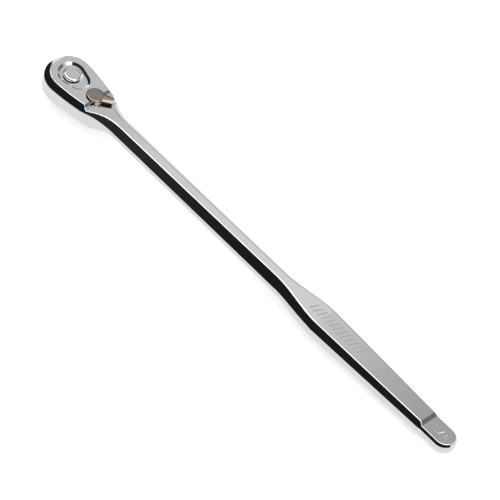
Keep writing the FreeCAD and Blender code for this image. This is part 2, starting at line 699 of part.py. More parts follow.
# ---- button, release pin and ball ---------------------------------------------------------------
def release_button():
    body = cylinder(BUTTON_RADIUS, BUTTON_BOTTOM, BUTTON_TOP)
    rim = [e for e in body.Edges if e.BoundBox.ZMin > BUTTON_TOP - 0.01]
    body = body.makeFillet(BUTTON_RADIUS - BUTTON_FLAT, rim)
    skirt = cylinder(SKIRT_RADIUS, FLANGE_TOP, BUTTON_BOTTOM)
    flange = cylinder(FLANGE_RADIUS, FLANGE_BOTTOM, FLANGE_TOP)
    body = body.multiFuse([skirt, flange])
    bore = cylinder(SKIRT_BORE, FLANGE_BOTTOM - 1, BUTTON_BORE_TOP)
    spigot = cylinder(SPIGOT_RADIUS + PRESSED, BUTTON_BORE_TOP - 1, BUTTON_BORE_TOP + SPIGOT_LENGTH)
    return one_solid(body.cut([bore, spigot]))


def release_pin():
    """Pin under the button: a land that holds the ball out, a ramp and a neck that let it in."""
    neck_foot = ramp_foot() + (PIN_RADIUS - PIN_NECK) / RAMP_RATIO
    neck_top = -BALL_DEPTH + BUTTON_TRAVEL + BALL_RADIUS + LOOSE
    spigot_top = BUTTON_BORE_TOP + SPIGOT_LENGTH
    return lathe([(0, pin_bottom()), (PIN_RADIUS - 0.3, pin_bottom()), (PIN_RADIUS, pin_bottom() + 0.3),
                  (PIN_RADIUS, ramp_foot()), (PIN_NECK, neck_foot), (PIN_NECK, neck_top),
                  (PIN_RADIUS, neck_top + PIN_RADIUS - PIN_NECK), (PIN_RADIUS, BUTTON_BORE_TOP),
                  (SPIGOT_RADIUS, BUTTON_BORE_TOP), (SPIGOT_RADIUS, spigot_top), (0, spigot_top)])


def detent_ball():
    return Part.makeSphere(BALL_RADIUS, V(0, -BALL_CENTRE, -BALL_DEPTH))


# ---- reversing lever and its plunger ------------------------------------------------------------
def tab_wire(x, half_widths, low, high):
    """Cross-section of the thumb tab: a flat ridge, two sloping shoulders and upright sides."""
    flat, half = half_widths
    shoulder = high - TAB_RIDGE
    return Part.makePolygon([V(x, -half, low), V(x, half, low), V(x, half, shoulder), V(x, flat, high),
                             V(x, -flat, high), V(x, -half, shoulder), V(x, -half, low)])


def lever_frame(shape):
    """Put a shape that was made about the Z axis, pointing to +X, in the lever's place at rest."""
    return moved(turned_by(shape, LEVER_REST), LEVER_X)


def reverse_lever():
    disc_low = POCKET_FLOOR + GAP
    tab_low = NECK_TOP + LOOSE + GAP
    disc = cylinder(LEVER_DISC_R, disc_low, LEVER_TOP)
    rim = [e for e in disc.Edges if e.BoundBox.ZMin > LEVER_TOP - 0.01]
    disc = disc.makeFillet(LEVER_DISC_R - LEVER_FLAT_R, rim)
    root = tab_wire(0.5, TAB_ROOT, tab_low, LEVER_TOP)
    tip = tab_wire(LEVER_REACH, TAB_TIP, tab_low, LEVER_TOP - TAB_DIP)
    tab = Part.makeLoft([root, tip], True, True)
    end_edges = [e for e in tab.Edges if e.BoundBox.XMin > LEVER_REACH - 0.01 and e.BoundBox.YLength < 0.01]
    tab = tab.makeFillet(LEVER_ROUND, end_edges)
    stem = cylinder(STEM_RADIUS, COVER_TOP + GAP, disc_low)
    body = disc.multiFuse([tab, stem])
    groove_low = ROOF - GAP - CLIP_THICK
    cuts = [
        ring(STEM_RADIUS + 1, STEM_RADIUS - CLIP_GROOVE, groove_low, groove_low + CLIP_THICK),
        torus(STEM_RADIUS - SEAL_WIRE + RUNNING / 2, SEAL_WIRE + SEAL_ROOM, lever_seal_level()),
        Part.makeCylinder(PLUNGER_RADIUS + SLIDING, STEM_RADIUS + PLUNGER_SEAT + 1,
                          V(-STEM_RADIUS - 1, 0, LEVER_MID_Z), V(1, 0, 0)),
    ]
    return lever_frame(one_solid(body.cut(cuts)))


def lever_seal_level():
    return (ROOF + POCKET_FLOOR) / 2


def lever_seal():
    return moved(torus(STEM_RADIUS - SEAL_WIRE + RUNNING / 2, SEAL_WIRE, lever_seal_level()), LEVER_X)


def lever_clip():
    """E-shaped clip in the stem's groove that stops the lever from lifting out."""
    low = ROOF - GAP - CLIP_THICK
    whole = ring(CLIP_RADIUS, STEM_RADIUS - CLIP_GROOVE + PRESSED, low, low + CLIP_THICK)
    mouth = block(0, CLIP_RADIUS + 1, STEM_RADIUS - CLIP_GROOVE - GAP, low - 1, low + CLIP_THICK + 1)
    return lever_frame(one_solid(whole.cut(mouth)))


def lever_plunger():
    shaft = Part.makeCylinder(PLUNGER_RADIUS, PLUNGER_LENGTH - PLUNGER_RADIUS,
                              V(-(PLUNGER_REACH - PLUNGER_RADIUS), 0, LEVER_MID_Z), V(1, 0, 0))
    tip = Part.makeSphere(PLUNGER_RADIUS, V(-(PLUNGER_REACH - PLUNGER_RADIUS), 0, LEVER_MID_Z))
    return lever_frame(one_solid(shaft.fuse(tip)))


def plunger_spring():
    back = PLUNGER_REACH - PLUNGER_LENGTH
    spring = coil(PLUNGER_RADIUS - 2 * PLUNGER_WIRE, PLUNGER_WIRE, PLUNGER_COILS, back + PLUNGER_SEAT)
    spring.rotate(V(0, 0, 0), V(0, 1, 0), 90)
    return lever_frame(moved(spring, -back, 0, LEVER_MID_Z))


# ---- pawl ---------------------------------------------------------------------------------------
def tip_on_pawl(lever_turn):
    """Where the plunger's tip stands on the pawl, seen in the pawl's middle pose."""
    rock = -lever_turn * PAWL_ROCK / LEVER_REST
    turn = math.radians(lever_turn)
    tip = V(LEVER_X - PLUNGER_REACH * math.cos(turn), -PLUNGER_REACH * math.sin(turn), 0)
    point = Part.Vertex(tip)
    point.rotate(V(PAWL_X, 0, 0), UP, -rock)
    return point.Point


def pawl_hollow():
    """The hollow in the pawl's back that the plunger's tip slides along."""
    path = Part.Arc(tip_on_pawl(-LEVER_REST), tip_on_pawl(0), tip_on_pawl(LEVER_REST)).toShape().Curve
    return cylinder(path.Radius + GAP * 1.5, COVER_TOP, ROOF, path.Center.x)


def pawl():
    low = COVER_TOP + GAP
    high = ROOF - GAP
    arms = sector(PAWL_OUTER, PAWL_SPAN, low, high)
    arms = arms.cut(cylinder(GEAR_RADIUS - TOOTH_DEPTH, low - 1, high + 1))
    boss = block(GEAR_RADIUS, PAWL_X + BOSS_LENGTH, BOSS_HALF_WIDTH, low, high)
    body = arms.fuse(boss)
    cuts = [cylinder(PAWL_PIN_R + RUNNING, low - 1, high + 1, PAWL_X), pawl_hollow()]
    middle = sector(PAWL_OUTER, PAWL_TOOTH_FROM, low - 1, high + 1)
    clip_room = cylinder(CLIP_RADIUS + GAP, low - 1, high + 1, LEVER_X)
    for side in (1, -1):
        teeth = prism(gear_wire(TOOTH_CLEARANCE), low - 1, high + 1)
        relief = cylinder(GEAR_RADIUS + 2 * GAP, low - 1, high + 1)
        cuts.append(turned_by(teeth, -side * PAWL_ROCK, PAWL_X))
        cuts.append(turned_by(clip_room, -side * PAWL_ROCK, PAWL_X))
        cuts.append(turned_by(relief, -side * PAWL_ROCK, PAWL_X).common(middle))
    return turned_by(one_solid(body.cut(cuts)), -PAWL_ROCK, PAWL_X)


NODES = {
    "handle_forging": handle_forging,
    "cover_plate": cover_plate,
    "cover_screws": cover_screws,
    "hub_seal": hub_seal,
    "thrust_washer": thrust_washer,
    "drag_washer": drag_washer,
    "pawl_pin": pawl_pin,
    "drive_gear": drive_gear,
    "button_ring": button_ring,
    "release_spring": release_spring,
    "release_button": release_button,
    "release_pin": release_pin,
    "detent_ball": detent_ball,
    "reverse_lever": reverse_lever,
    "lever_seal": lever_seal,
    "lever_clip": lever_clip,
    "lever_plunger": lever_plunger,
    "plunger_spring": plunger_spring,
    "pawl": pawl,
}

os.makedirs("parts", exist_ok=True)
for name, make in NODES.items():
    shape = make()
    if not shape.isValid():
        raise ValueError(name + " is not a valid shape")
    shape.exportStep("parts/" + name + ".step")
    print("%-16s %d solid(s) %10.1f mm3" % (name, len(shape.Solids), shape.Volume))
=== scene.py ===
"""Finishes, fine pieces and studio for a chrome ratchet wrench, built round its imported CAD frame.

Lengths are in metres in the frame's own axes: +Z out of the release button, +X to the tail.
"""

import json
import math

import bpy
from bpy.props import FloatProperty, FloatVectorProperty, IntProperty, PointerProperty
from mathutils import Matrix, Vector


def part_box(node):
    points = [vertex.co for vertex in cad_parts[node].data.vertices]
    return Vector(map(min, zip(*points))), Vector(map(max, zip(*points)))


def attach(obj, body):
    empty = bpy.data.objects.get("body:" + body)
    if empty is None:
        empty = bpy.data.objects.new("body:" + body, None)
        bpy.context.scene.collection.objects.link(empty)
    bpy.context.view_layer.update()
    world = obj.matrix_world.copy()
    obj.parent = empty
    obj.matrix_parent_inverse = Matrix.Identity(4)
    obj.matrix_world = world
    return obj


bl_info = {
    "name": "Ratchet Wrench Finisher",
    "version": (1, 0, 0),
    "blender": (4, 5, 0),
    "location": "View3D > Sidebar > Ratchet",
    "description": "Plates, marks and lights a quick-release ratchet wrench",
    "category": "Object",
}

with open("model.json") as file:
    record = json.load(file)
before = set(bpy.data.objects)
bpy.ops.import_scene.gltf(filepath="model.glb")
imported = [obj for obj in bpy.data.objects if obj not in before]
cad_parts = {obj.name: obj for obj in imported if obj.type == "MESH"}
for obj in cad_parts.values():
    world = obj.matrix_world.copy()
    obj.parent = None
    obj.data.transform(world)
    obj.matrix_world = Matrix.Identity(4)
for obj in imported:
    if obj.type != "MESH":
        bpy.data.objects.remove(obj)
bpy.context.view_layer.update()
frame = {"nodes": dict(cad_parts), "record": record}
MM = 0.001
HANDLE_TOP = 15.8 * MM
HANDLE_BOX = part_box("handle_forging")
GEAR_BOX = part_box("drive_gear")
FINISHES = {}

# ---- studio constants ---------------------------------------------------------------------------
# Camera: its right and up directions and the point that it looks at.
CAMERA_RIGHT = Vector((0.673, 0.7186, 0.1736))
CAMERA_UP = Vector((-0.647, 0.4595, 0.6088))
CAMERA_AIM = Vector((172.1 * MM, -3.0 * MM, HANDLE_TOP))
CLIP_START, CLIP_END = 1, 40

# World: tone by lean in degrees, from straight in front (-90) over the top (0) to behind (90).
WORLD_TONES = [
    (-90, 0.006), (-70, 0.005), (-50, 0.011), (-28, 0.012), (-19, 1.0), (8, 1.0),
    (17, 0.33), (30, 0.29), (44, 0.16), (50, 0.08), (78, 0.08), (90, 0.3)]
WORLD_BLUE = 1.01
DARK_CARD = 0.006  # low and in front
PALE_CARD = 0.42  # low and beyond the nose
LOW_EDGE = (0.3, 0.5)  # heights between which the low cards fade out
FRONT_EDGE = (0.25, 0.35)
BEHIND_EDGE = (0.3, 0.4)
NOSE_EDGE = (-0.7, -0.6)

# Soft card: tone by distance from the drive axis, for the level faces that mirror it.
CARD_TONES = [
    (-0.02, 0.60), (0.02, 0.63), (0.035, 0.73), (0.06, 0.75), (0.19, 0.78), (0.24, 0.75),
    (0.28, 0.63), (0.32, 0.53), (0.36, 0.43)]
MIRRORED = Vector((-0.358, 0.522, 0.774))  # from a level face to the card, 1 m
CARD_MIDDLE = 170 * MM
CARD_HALF_LENGTH = 0.4
CARD_HALF_WIDTH = 0.2
CARD_ACROSS = Vector((0, 0.829, -0.559))

# Floor: how it is seen, and how the chrome mirrors it.
SQUARE_EDGE = 0.42  # the square's back edge as a share of the gear's radius
PAPER_TONE = 0.86
PAPER_GLOW = 0.3
MIRROR_DARK, MIRROR_PALE = 0.012, 0.885
MIRROR_EDGE = (-62 * MM, -50 * MM)

# ---- finish constants ---------------------------------------------------------------------------
HAIRLINE_TURNS = (0.35, -0.6, 1.9)
HAIRLINE_CUT = (0.66, 0.72)
HAIRLINE_DEPTH = 0.05
SPECK_RATIO = 38.0  # how much finer the specks are than the patches
CHROME_BUMP = 0.0004
STEEL_BUMP = 0.00003
MATT_BUMP = 0.00002
ALL_WAYS = (1.0, 1.0, 1.0)
ROUND_Z = (0.0, 0.0, 1.0)
ROUND_END = 0.499  # corner radius as a share of a painted shade bar's width
MERGE = 1e-6


# ---- sizes and colours that a user would change -------------------------------------------------
def colour(name, description, default):
    return FloatVectorProperty(
        name=name, description=description, subtype="COLOR", size=3, min=0, max=1,
        default=default)


def length(name, description, default):
    return FloatProperty(
        name=name, description=description, default=default, min=0, unit="LENGTH", precision=5)


def number(name, description, default, **more):
    return FloatProperty(name=name, description=description, default=default, **more)


class ChromeFinish(bpy.types.PropertyGroup):
    """Look of the plated surfaces."""
    plate: colour("Plate", "Colour of clean chrome plate", (0.80, 0.805, 0.815))
    haze: colour("Haze", "Colour where the plate is faintly hazed", (0.74, 0.74, 0.745))
    smoke: colour("Smoked plate", "Colour of the lever's tinted chrome", (0.36, 0.305, 0.265))
    gloss: number("Gloss roughness", "Roughness of the best polished areas", 0.045)
    scuff: number("Scuff roughness", "Roughness in the handled areas", 0.11)


class SteelFinish(bpy.types.PropertyGroup):
    """Look of the unplated pieces."""
    ground: colour("Ground steel", "Colour of ground hardened steel", (0.50, 0.49, 0.475))
    oxide: colour("Black oxide", "Colour of blackened screws", (0.035, 0.035, 0.04))
    rubber: colour("Seal rubber", "Colour of the seal rings", (0.02, 0.02, 0.021))
    spring: colour("Spring steel", "Colour of bright spring wire", (0.42, 0.42, 0.43))


class MarkSizes(bpy.types.PropertyGroup):
    """Grey bars on the floors of the grip's cut grooves: painted shade of the engraved recesses."""
    # painted shade: this grey darkens the groove floors to stand for the shade in the engraved
    # marks
    enamel: colour("Inlay", "Colour of the satin inlay in the grip's grooves", (0.30, 0.30, 0.31))
    grooves: IntProperty(name="Grooves", description="Number of slanted grooves", default=13)
    pitch: length("Pitch", "Distance between grooves", 3.7 * MM)
    start: length("Start", "First groove's distance from the drive axis", 230 * MM)
    long: length("Length", "Length of an inlay", 7.2 * MM)
    wide: length("Width", "Width of an inlay", 1.14 * MM)
    slant: number("Slant", "Lean of the grooves", math.radians(22), unit="ROTATION")
    thick: length("Thickness", "Thickness of an inlay", 0.12 * MM)
    level: length("Level", "Height of the first groove's floor", 15.57 * MM)
    crest: length("Crest", "Distance from the drive axis where the grip thins", 240 * MM)
    fall: number("Fall", "Slope of the grip's top face behind the crest", 0.01032)


class StudioSettings(bpy.types.PropertyGroup):
    """Camera, floor and light."""
    lens: number("Lens", "Focal length", 1500, unit="CAMERA")
    away: length("Distance", "Camera's distance from the point it looks at", 13.29)
    floor: length("Floor", "Half the floor's width", 6.0)
    fill: number("Fill", "Strength of the even light on matt surfaces", 1.28)
    box: number("Strip", "Strength of the strip of light overhead", 2.2)


# ---- node helpers -------------------------------------------------------------------------------
def put(tree, kind, **settings):
    """A new node with its properties set."""
    node = tree.nodes.new(kind)
    for name, value in settings.items():
        setattr(node, name, value)
    return node


def feed(tree, node, **values):
    """Links or sets a node's inputs, by index (i0) or by name with underscores for spaces."""
    for name, value in values.items():
        indexed = name[0] == "i" and name[1:].isdigit()
        socket = node.inputs[int(name[1:]) if indexed else name.replace("_", " ")]
        if isinstance(value, bpy.types.NodeSocket):
            tree.links.new(value, socket)
        else:
            socket.default_value = value
    return node


def maths(tree, operation, *values):
    """The result of a Math node on two or three values or sockets."""
    node = put(tree, "ShaderNodeMath", operation=operation)
    feed(tree, node, **{"i%d" % i: value for i, value in enumerate(values)})
    return node.outputs[0]


def ranged(tree, value, low, high, to_low=0.0, to_high=1.0, shape="SMOOTHSTEP"):
    """A value carried from one range to another, clamped at the ends."""
    node = put(tree, "ShaderNodeMapRange", interpolation_type=shape)
    feed(tree, node, Value=value, From_Min=low, From_Max=high, To_Min=to_low, To_Max=to_high)
    return node.outputs["Result"]


def mixed(tree, share, first, second):
    """The first colour, giving way to the second by the share."""
    node = put(tree, "ShaderNodeMix", data_type="RGBA")
    feed(tree, node, i0=share, i6=first, i7=second)
    return node.outputs[2]


def graded(tree, share, stops, blue=1.0):
    """A grey that follows the stops (place from 0 to 1, tone) as the share grows."""
    ramp = put(tree, "ShaderNodeValToRGB")
    tree.links.new(share, ramp.inputs[0])
    elements = ramp.color_ramp.elements
    while len(elements) < len(stops):
        elements.new(0.5)
    for element, (place, tone) in zip(elements, stops):
        element.position = place
        element.color = (tone, tone, tone * blue, 1)
    return ramp.outputs[0]


def bumped(tree, height, distance, strength):
    """A normal from a height."""
    node = put(tree, "ShaderNodeBump")
    feed(tree, node, Height=height, Distance=distance, Strength=strength)
    return node.outputs[0]


def split_object(tree, place, output="Object"):
    """The three coordinates of a Texture Coordinate output."""
    split = put(tree, "ShaderNodeSeparateXYZ")
    feed(tree, split, i0=place.outputs[output])
    return split.outputs


def opaque(tone):
    return (*tone, 1)


def grey(tone):
    return (tone, tone, tone, 1)


def new_group(name, kind, inputs, outputs):
    """An empty node group with named sockets: {name: (socket type, default)}."""
    group = bpy.data.node_groups.new(name, kind)
    for label, (socket, default) in inputs.items():
        item = group.interface.new_socket(label, in_out="INPUT", socket_type=socket)
        item.default_value = default
    for label, socket in outputs.items():
        group.interface.new_socket(label, in_out="OUTPUT", socket_type=socket)
    entry = group.nodes.new("NodeGroupInput")
    leave = group.nodes.new("NodeGroupOutput")
    return group, entry, leave


# ---- effects shared by several finishes ---------------------------------------------------------
def polish_group():
    """Faint waves and hairline scratches that a buffing wheel leaves."""
    group, entry, leave = new_group(
        "Buffing marks", "ShaderNodeTree",
        {"Wave Scale": ("NodeSocketFloat", 90.0), "Hairline Scale": ("NodeSocketFloat", 900.0),
         "Stretch": ("NodeSocketFloat", 14.0), "Hairlines": ("NodeSocketFloat", 0.5)},
        {"Height": "NodeSocketFloat", "Lines": "NodeSocketFloat"})
    place = put(group, "ShaderNodeTexCoord")
    wave = put(group, "ShaderNodeTexNoise")
    feed(group, wave, Vector=place.outputs["Object"], Scale=entry.outputs["Wave Scale"],
         Detail=2.0, Roughness=0.4)
    lines = []
    for turn in HAIRLINE_TURNS:
        mapping = put(group, "ShaderNodeMapping")
        feed(group, mapping, Vector=place.outputs["Object"], Rotation=(0.3 * turn, 0.2, turn))
        stretch = put(group, "ShaderNodeCombineXYZ")
        thin = maths(group, "DIVIDE", 1.0, entry.outputs["Stretch"])
        feed(group, stretch, X=thin, Y=1.0, Z=1.0)
        scaled = put(group, "ShaderNodeVectorMath", operation="MULTIPLY")
        feed(group, scaled, i0=mapping.outputs[0], i1=stretch.outputs[0])
        noise = put(group, "ShaderNodeTexNoise")
        feed(group, noise, Vector=scaled.outputs[0], Scale=entry.outputs["Hairline Scale"],
             Detail=1.0)
        lines.append(ranged(group, noise.outputs[0], *HAIRLINE_CUT))
    most = maths(group, "MAXIMUM", maths(group, "MAXIMUM", lines[0], lines[1]), lines[2])
    faint = maths(group, "MULTIPLY", most, entry.outputs["Hairlines"])
    depth = maths(group, "MULTIPLY", faint, HAIRLINE_DEPTH)
    height = maths(group, "SUBTRACT", wave.outputs[0], depth)
    feed(group, leave, Height=height, Lines=faint)
    return group


def handling_group():
    """Soft patches where fingers and rags have dulled a surface."""
    group, entry, leave = new_group(
        "Handling haze", "ShaderNodeTree",
        {"Patch Scale": ("NodeSocketFloat", 28.0), "Amount": ("NodeSocketFloat", 0.5)},
        {"Haze": "NodeSocketFloat"})
    place = put(group, "ShaderNodeTexCoord")
    patches = put(group, "ShaderNodeTexNoise")
    feed(group, patches, Vector=place.outputs["Object"], Scale=entry.outputs["Patch Scale"],
         Detail=5.0, Roughness=0.62, Distortion=0.6)
    specks = put(group, "ShaderNodeTexNoise")
    finer = maths(group, "MULTIPLY", entry.outputs["Patch Scale"], SPECK_RATIO)
    feed(group, specks, Vector=place.outputs["Object"], Scale=finer, Detail=3.0, Roughness=0.7)
    soft = ranged(group, patches.outputs[0], 0.42, 0.72)
    fine = ranged(group, specks.outputs[0], 0.35, 0.75, 0.6, 1.0)
    broken = maths(group, "MULTIPLY", soft, fine)
    feed(group, leave, Haze=maths(group, "MULTIPLY", broken, entry.outputs["Amount"]))
    return group


def machining_group():
    """Rings or straight lines that a grinder or a lathe leaves."""
    group, entry, leave = new_group(
        "Machining lines", "ShaderNodeTree",
        {"Line Scale": ("NodeSocketFloat", 1800.0), "Along": ("NodeSocketVector", ROUND_Z)},
        {"Height": "NodeSocketFloat", "Tone": "NodeSocketFloat"})
    place = put(group, "ShaderNodeTexCoord")
    scaled = put(group, "ShaderNodeVectorMath", operation="MULTIPLY")
    feed(group, scaled, i0=place.outputs["Object"], i1=entry.outputs["Along"])
    lines = put(group, "ShaderNodeTexNoise")
    feed(group, lines, Vector=scaled.outputs[0], Scale=entry.outputs["Line Scale"], Detail=4.0,
         Roughness=0.65)
    tone = put(group, "ShaderNodeTexNoise")
    feed(group, tone, Vector=place.outputs["Object"], Scale=260.0, Detail=4.0)
    feed(group, leave, Height=lines.outputs[0], Tone=tone.outputs[0])
    return group


# ---- finishes -----------------------------------------------------------------------------------
def finish_tree(name):
    """A material, its tree and its Principled surface."""
    material = bpy.data.materials.new(name)
    material.use_nodes = True
    tree = material.node_tree
    return material, tree, tree.nodes["Principled BSDF"]


def grouped(tree, group, **values):
    """A shared effect placed in a material with its own values."""
    return feed(tree, put(tree, "ShaderNodeGroup", node_tree=group), **values)


def chrome(name, clean, dull, gloss, scuff, groups, haze=0.5, wave=0.05):
    """Plated metal with buffing waves, hairlines and handling haze."""
    material, tree, surface = finish_tree(name)
    marks = grouped(tree, groups["polish"])
    worn = grouped(tree, groups["handling"], Amount=haze)
    lines = maths(tree, "MULTIPLY", marks.outputs["Lines"], 0.6)
    dulled = maths(tree, "MAXIMUM", worn.outputs["Haze"], lines)
    feed(tree, surface, Metallic=1.0,
         Base_Color=mixed(tree, worn.outputs["Haze"], opaque(clean), opaque(dull)),
         Roughness=ranged(tree, dulled, 0.0, 1.0, gloss, scuff),
         Normal=bumped(tree, marks.outputs["Height"], CHROME_BUMP, wave))
    return material


def steel(name, tone, groups, roughness=(0.22, 0.4), along=ROUND_Z, metallic=1.0):
    """Ground or turned steel with its tool lines."""
    material, tree, surface = finish_tree(name)
    lines = grouped(tree, groups["machining"], Along=along)
    worn = grouped(tree, groups["handling"], Amount=0.8, Patch_Scale=160.0)
    dark = tuple(c * 0.72 for c in tone)
    feed(tree, surface, Metallic=metallic,
         Base_Color=mixed(tree, lines.outputs["Tone"], opaque(tone), opaque(dark)),
         Roughness=ranged(tree, worn.outputs["Haze"], 0.0, 1.0, *roughness),
         Normal=bumped(tree, lines.outputs["Height"], STEEL_BUMP, 0.35))
    return material


def matt(name, tone, groups, roughness, grain):
    """Grey of the painted groove shade, and rubber: no metal, with a fine grain."""
    material, tree, surface = finish_tree(name)
    lines = grouped(tree, groups["machining"], Along=ALL_WAYS, Line_Scale=grain)
    light = tuple(min(1, c * 1.6 + 0.004) for c in tone)
    feed(tree, surface, Metallic=0.0,
         Base_Color=mixed(tree, lines.outputs["Tone"], opaque(tone), opaque(light)),
         Roughness=ranged(tree, lines.outputs["Tone"], 0.3, 0.7, roughness * 0.8, roughness),
         Normal=bumped(tree, lines.outputs["Height"], MATT_BUMP, 0.5))
    return material


def finishes():
    """The finishes by slot name, made once."""
    if FINISHES:
        return FINISHES
    scene = bpy.context.scene
    plated, bare, marks = scene.ratchet_chrome, scene.ratchet_steel, scene.ratchet_marks
    groups = {"polish": polish_group(), "handling": handling_group(),
              "machining": machining_group()}
    tinted = tuple(c * 0.8 for c in plated.smoke)
    made = [
        chrome("polished_chrome", plated.plate, plated.haze, plated.gloss, plated.scuff, groups),
        chrome("smoked_chrome", plated.smoke, tinted, 0.10, 0.24, groups, 0.8, 0.08),
        steel("hardened_steel", bare.ground, groups),
        steel("spring_steel", bare.spring, groups, (0.16, 0.3), ALL_WAYS),
        steel("black_oxide", bare.oxide, groups, (0.3, 0.5), ALL_WAYS, 0.6),
        matt("nitrile", bare.rubber, groups, 0.62, 1400.0),
        # painted shade: the mark_enamel slot is the matt grey of the bars that darken the groove
        # floors
        matt("mark_enamel", marks.enamel, groups, 0.42, 900.0),
    ]
    for material in made:
        slot = material.name.split(".")[0]
        FINISHES[slot] = material
        material.name = "finish_" + slot
    return FINISHES


# ---- mesh helpers -------------------------------------------------------------------------------
def linked(name, data):
    """A new object in the scene."""
    item = bpy.data.objects.new(name, data)
    bpy.context.scene.collection.objects.link(item)
    return item


def sheet(name, corners):
    """A new object with one four-sided face."""
    mesh = bpy.data.meshes.new(name)
    mesh.from_pydata([tuple(corner) for corner in corners], [], [(0, 1, 2, 3)])
    return linked(name, mesh)


def piece(name, mesh, body):
    """Puts a finished mesh in the scene as a piece that rides on a body."""
    mesh.name = name
    item = linked(name, mesh)
    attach(item, body)


def recoat(node, material):
    """Gives a CAD node's own mesh a finish."""
    item = frame["nodes"][node]
    for place in item.material_slots:
        place.link = "OBJECT"
        place.material = material


def grown(name, group, values):
    """The plain mesh that a Geometry Nodes tree makes from its named inputs."""
    host = linked(name + "_host", bpy.data.meshes.new(name + "_host"))
    modifier = host.modifiers.new("grow", "NODES")
    modifier.node_group = group
    for item in group.interface.items_tree:
        if item.in_out == "INPUT" and item.name in values:
            modifier[item.identifier] = values[item.name]
    graph = bpy.context.evaluated_depsgraph_get()
    graph.update()
    mesh = bpy.data.meshes.new_from_object(host.evaluated_get(graph))
    bpy.data.objects.remove(host)
    return mesh


# ---- painted shade on the floors of the grip's grooves ------------------------------------------
def groove_shade_tree(material):
    """Row of slanted round-ended grey bars, painted shade on the groove floors, that follows the
    fall of the grip's top face.
    """
    real = "NodeSocketFloat"
    group, entry, leave = new_group(
        "Painted groove shade row", "GeometryNodeTree",
        {"Count": ("NodeSocketInt", 13), "Pitch": (real, 0.0037), "Start": (real, 0.23),
         "Length": (real, 0.0072), "Width": (real, 0.00114), "Slant": (real, 0.38),
         "Thickness": (real, 0.0001), "Level": (real, 0.0155), "Crest": (real, 0.24),
         "Fall": (real, 0.0103)},
        {"Geometry": "NodeSocketGeometry"})
    size = entry.outputs
    spin = put(group, "ShaderNodeCombineXYZ")
    feed(group, spin, Z=size["Slant"])
    placed = put(group, "GeometryNodeInstanceOnPoints")
    feed(group, placed, Points=groove_shade_places(group, size), Instance=groove_shade_bar(group, size),
         Rotation=spin.outputs[0])
    joined = put(group, "GeometryNodeRealizeInstances")
    feed(group, joined, Geometry=placed.outputs[0])
    coated = put(group, "GeometryNodeSetMaterial")
    feed(group, coated, Geometry=joined.outputs[0], Material=material)
    feed(group, leave, Geometry=coated.outputs[0])
    return group


def groove_shade_places(group, size):
    """A row of points along the grip, lowered behind the crest."""
    row = put(group, "GeometryNodeMeshLine", mode="OFFSET")
    step = put(group, "ShaderNodeCombineXYZ")
    feed(group, step, X=size["Pitch"])
    begin = put(group, "ShaderNodeCombineXYZ")
    feed(group, begin, X=size["Start"], Z=size["Level"])
    feed(group, row, Count=size["Count"], Start_Location=begin.outputs[0],
         Offset=step.outputs[0])
    where = put(group, "GeometryNodeInputPosition")
    split = put(group, "ShaderNodeSeparateXYZ")
    feed(group, split, i0=where.outputs[0])
    beyond = maths(group, "SUBTRACT", split.outputs[0], size["Crest"])
    fallen = maths(group, "MULTIPLY", maths(group, "MAXIMUM", beyond, 0.0), size["Fall"])
    drop = put(group, "ShaderNodeCombineXYZ")
    feed(group, drop, Z=maths(group, "MULTIPLY", fallen, -1.0))
    settled = put(group, "GeometryNodeSetPosition")
    feed(group, settled, Geometry=row.outputs[0], Offset=drop.outputs[0])
    return settled.outputs[0]


def groove_shade_bar(group, size):
    """One closed round-ended bar."""
    outline = put(group, "GeometryNodeCurvePrimitiveQuadrilateral")
    feed(group, outline, Width=size["Width"], Height=size["Length"])
    ends = put(group, "GeometryNodeFilletCurve", mode="POLY")
    radius = maths(group, "MULTIPLY", size["Width"], ROUND_END)
    feed(group, ends, Curve=outline.outputs[0], Count=6, Radius=radius)
    flat = put(group, "GeometryNodeFillCurve")
    feed(group, flat, Curve=ends.outputs[0])
    raised = put(group, "GeometryNodeExtrudeMesh")
    feed(group, raised, Mesh=flat.outputs[0], Offset_Scale=size["Thickness"], Individual=False)
    under = put(group, "GeometryNodeFlipFaces")
    feed(group, under, Mesh=flat.outputs[0])
    both = put(group, "GeometryNodeJoinGeometry")
    group.links.new(raised.outputs[0], both.inputs[0])
    group.links.new(under.outputs[0], both.inputs[0])
    closed = put(group, "GeometryNodeMergeByDistance")
    feed(group, closed, Geometry=both.outputs[0], Distance=MERGE)
    return closed.outputs[0]


# ---- stage --------------------------------------------------------------------------------------
def floor_slope(foot):
    """Slope of the line from the square's end to the lowest touch on the handle's far half."""
    half = HANDLE_BOX[1].x / 2
    far = [v.co for v in frame["nodes"]["handle_forging"].data.vertices if v.co.x > half]
    return min(math.atan2(point.z - foot.z, point.x - foot.x) for point in far)


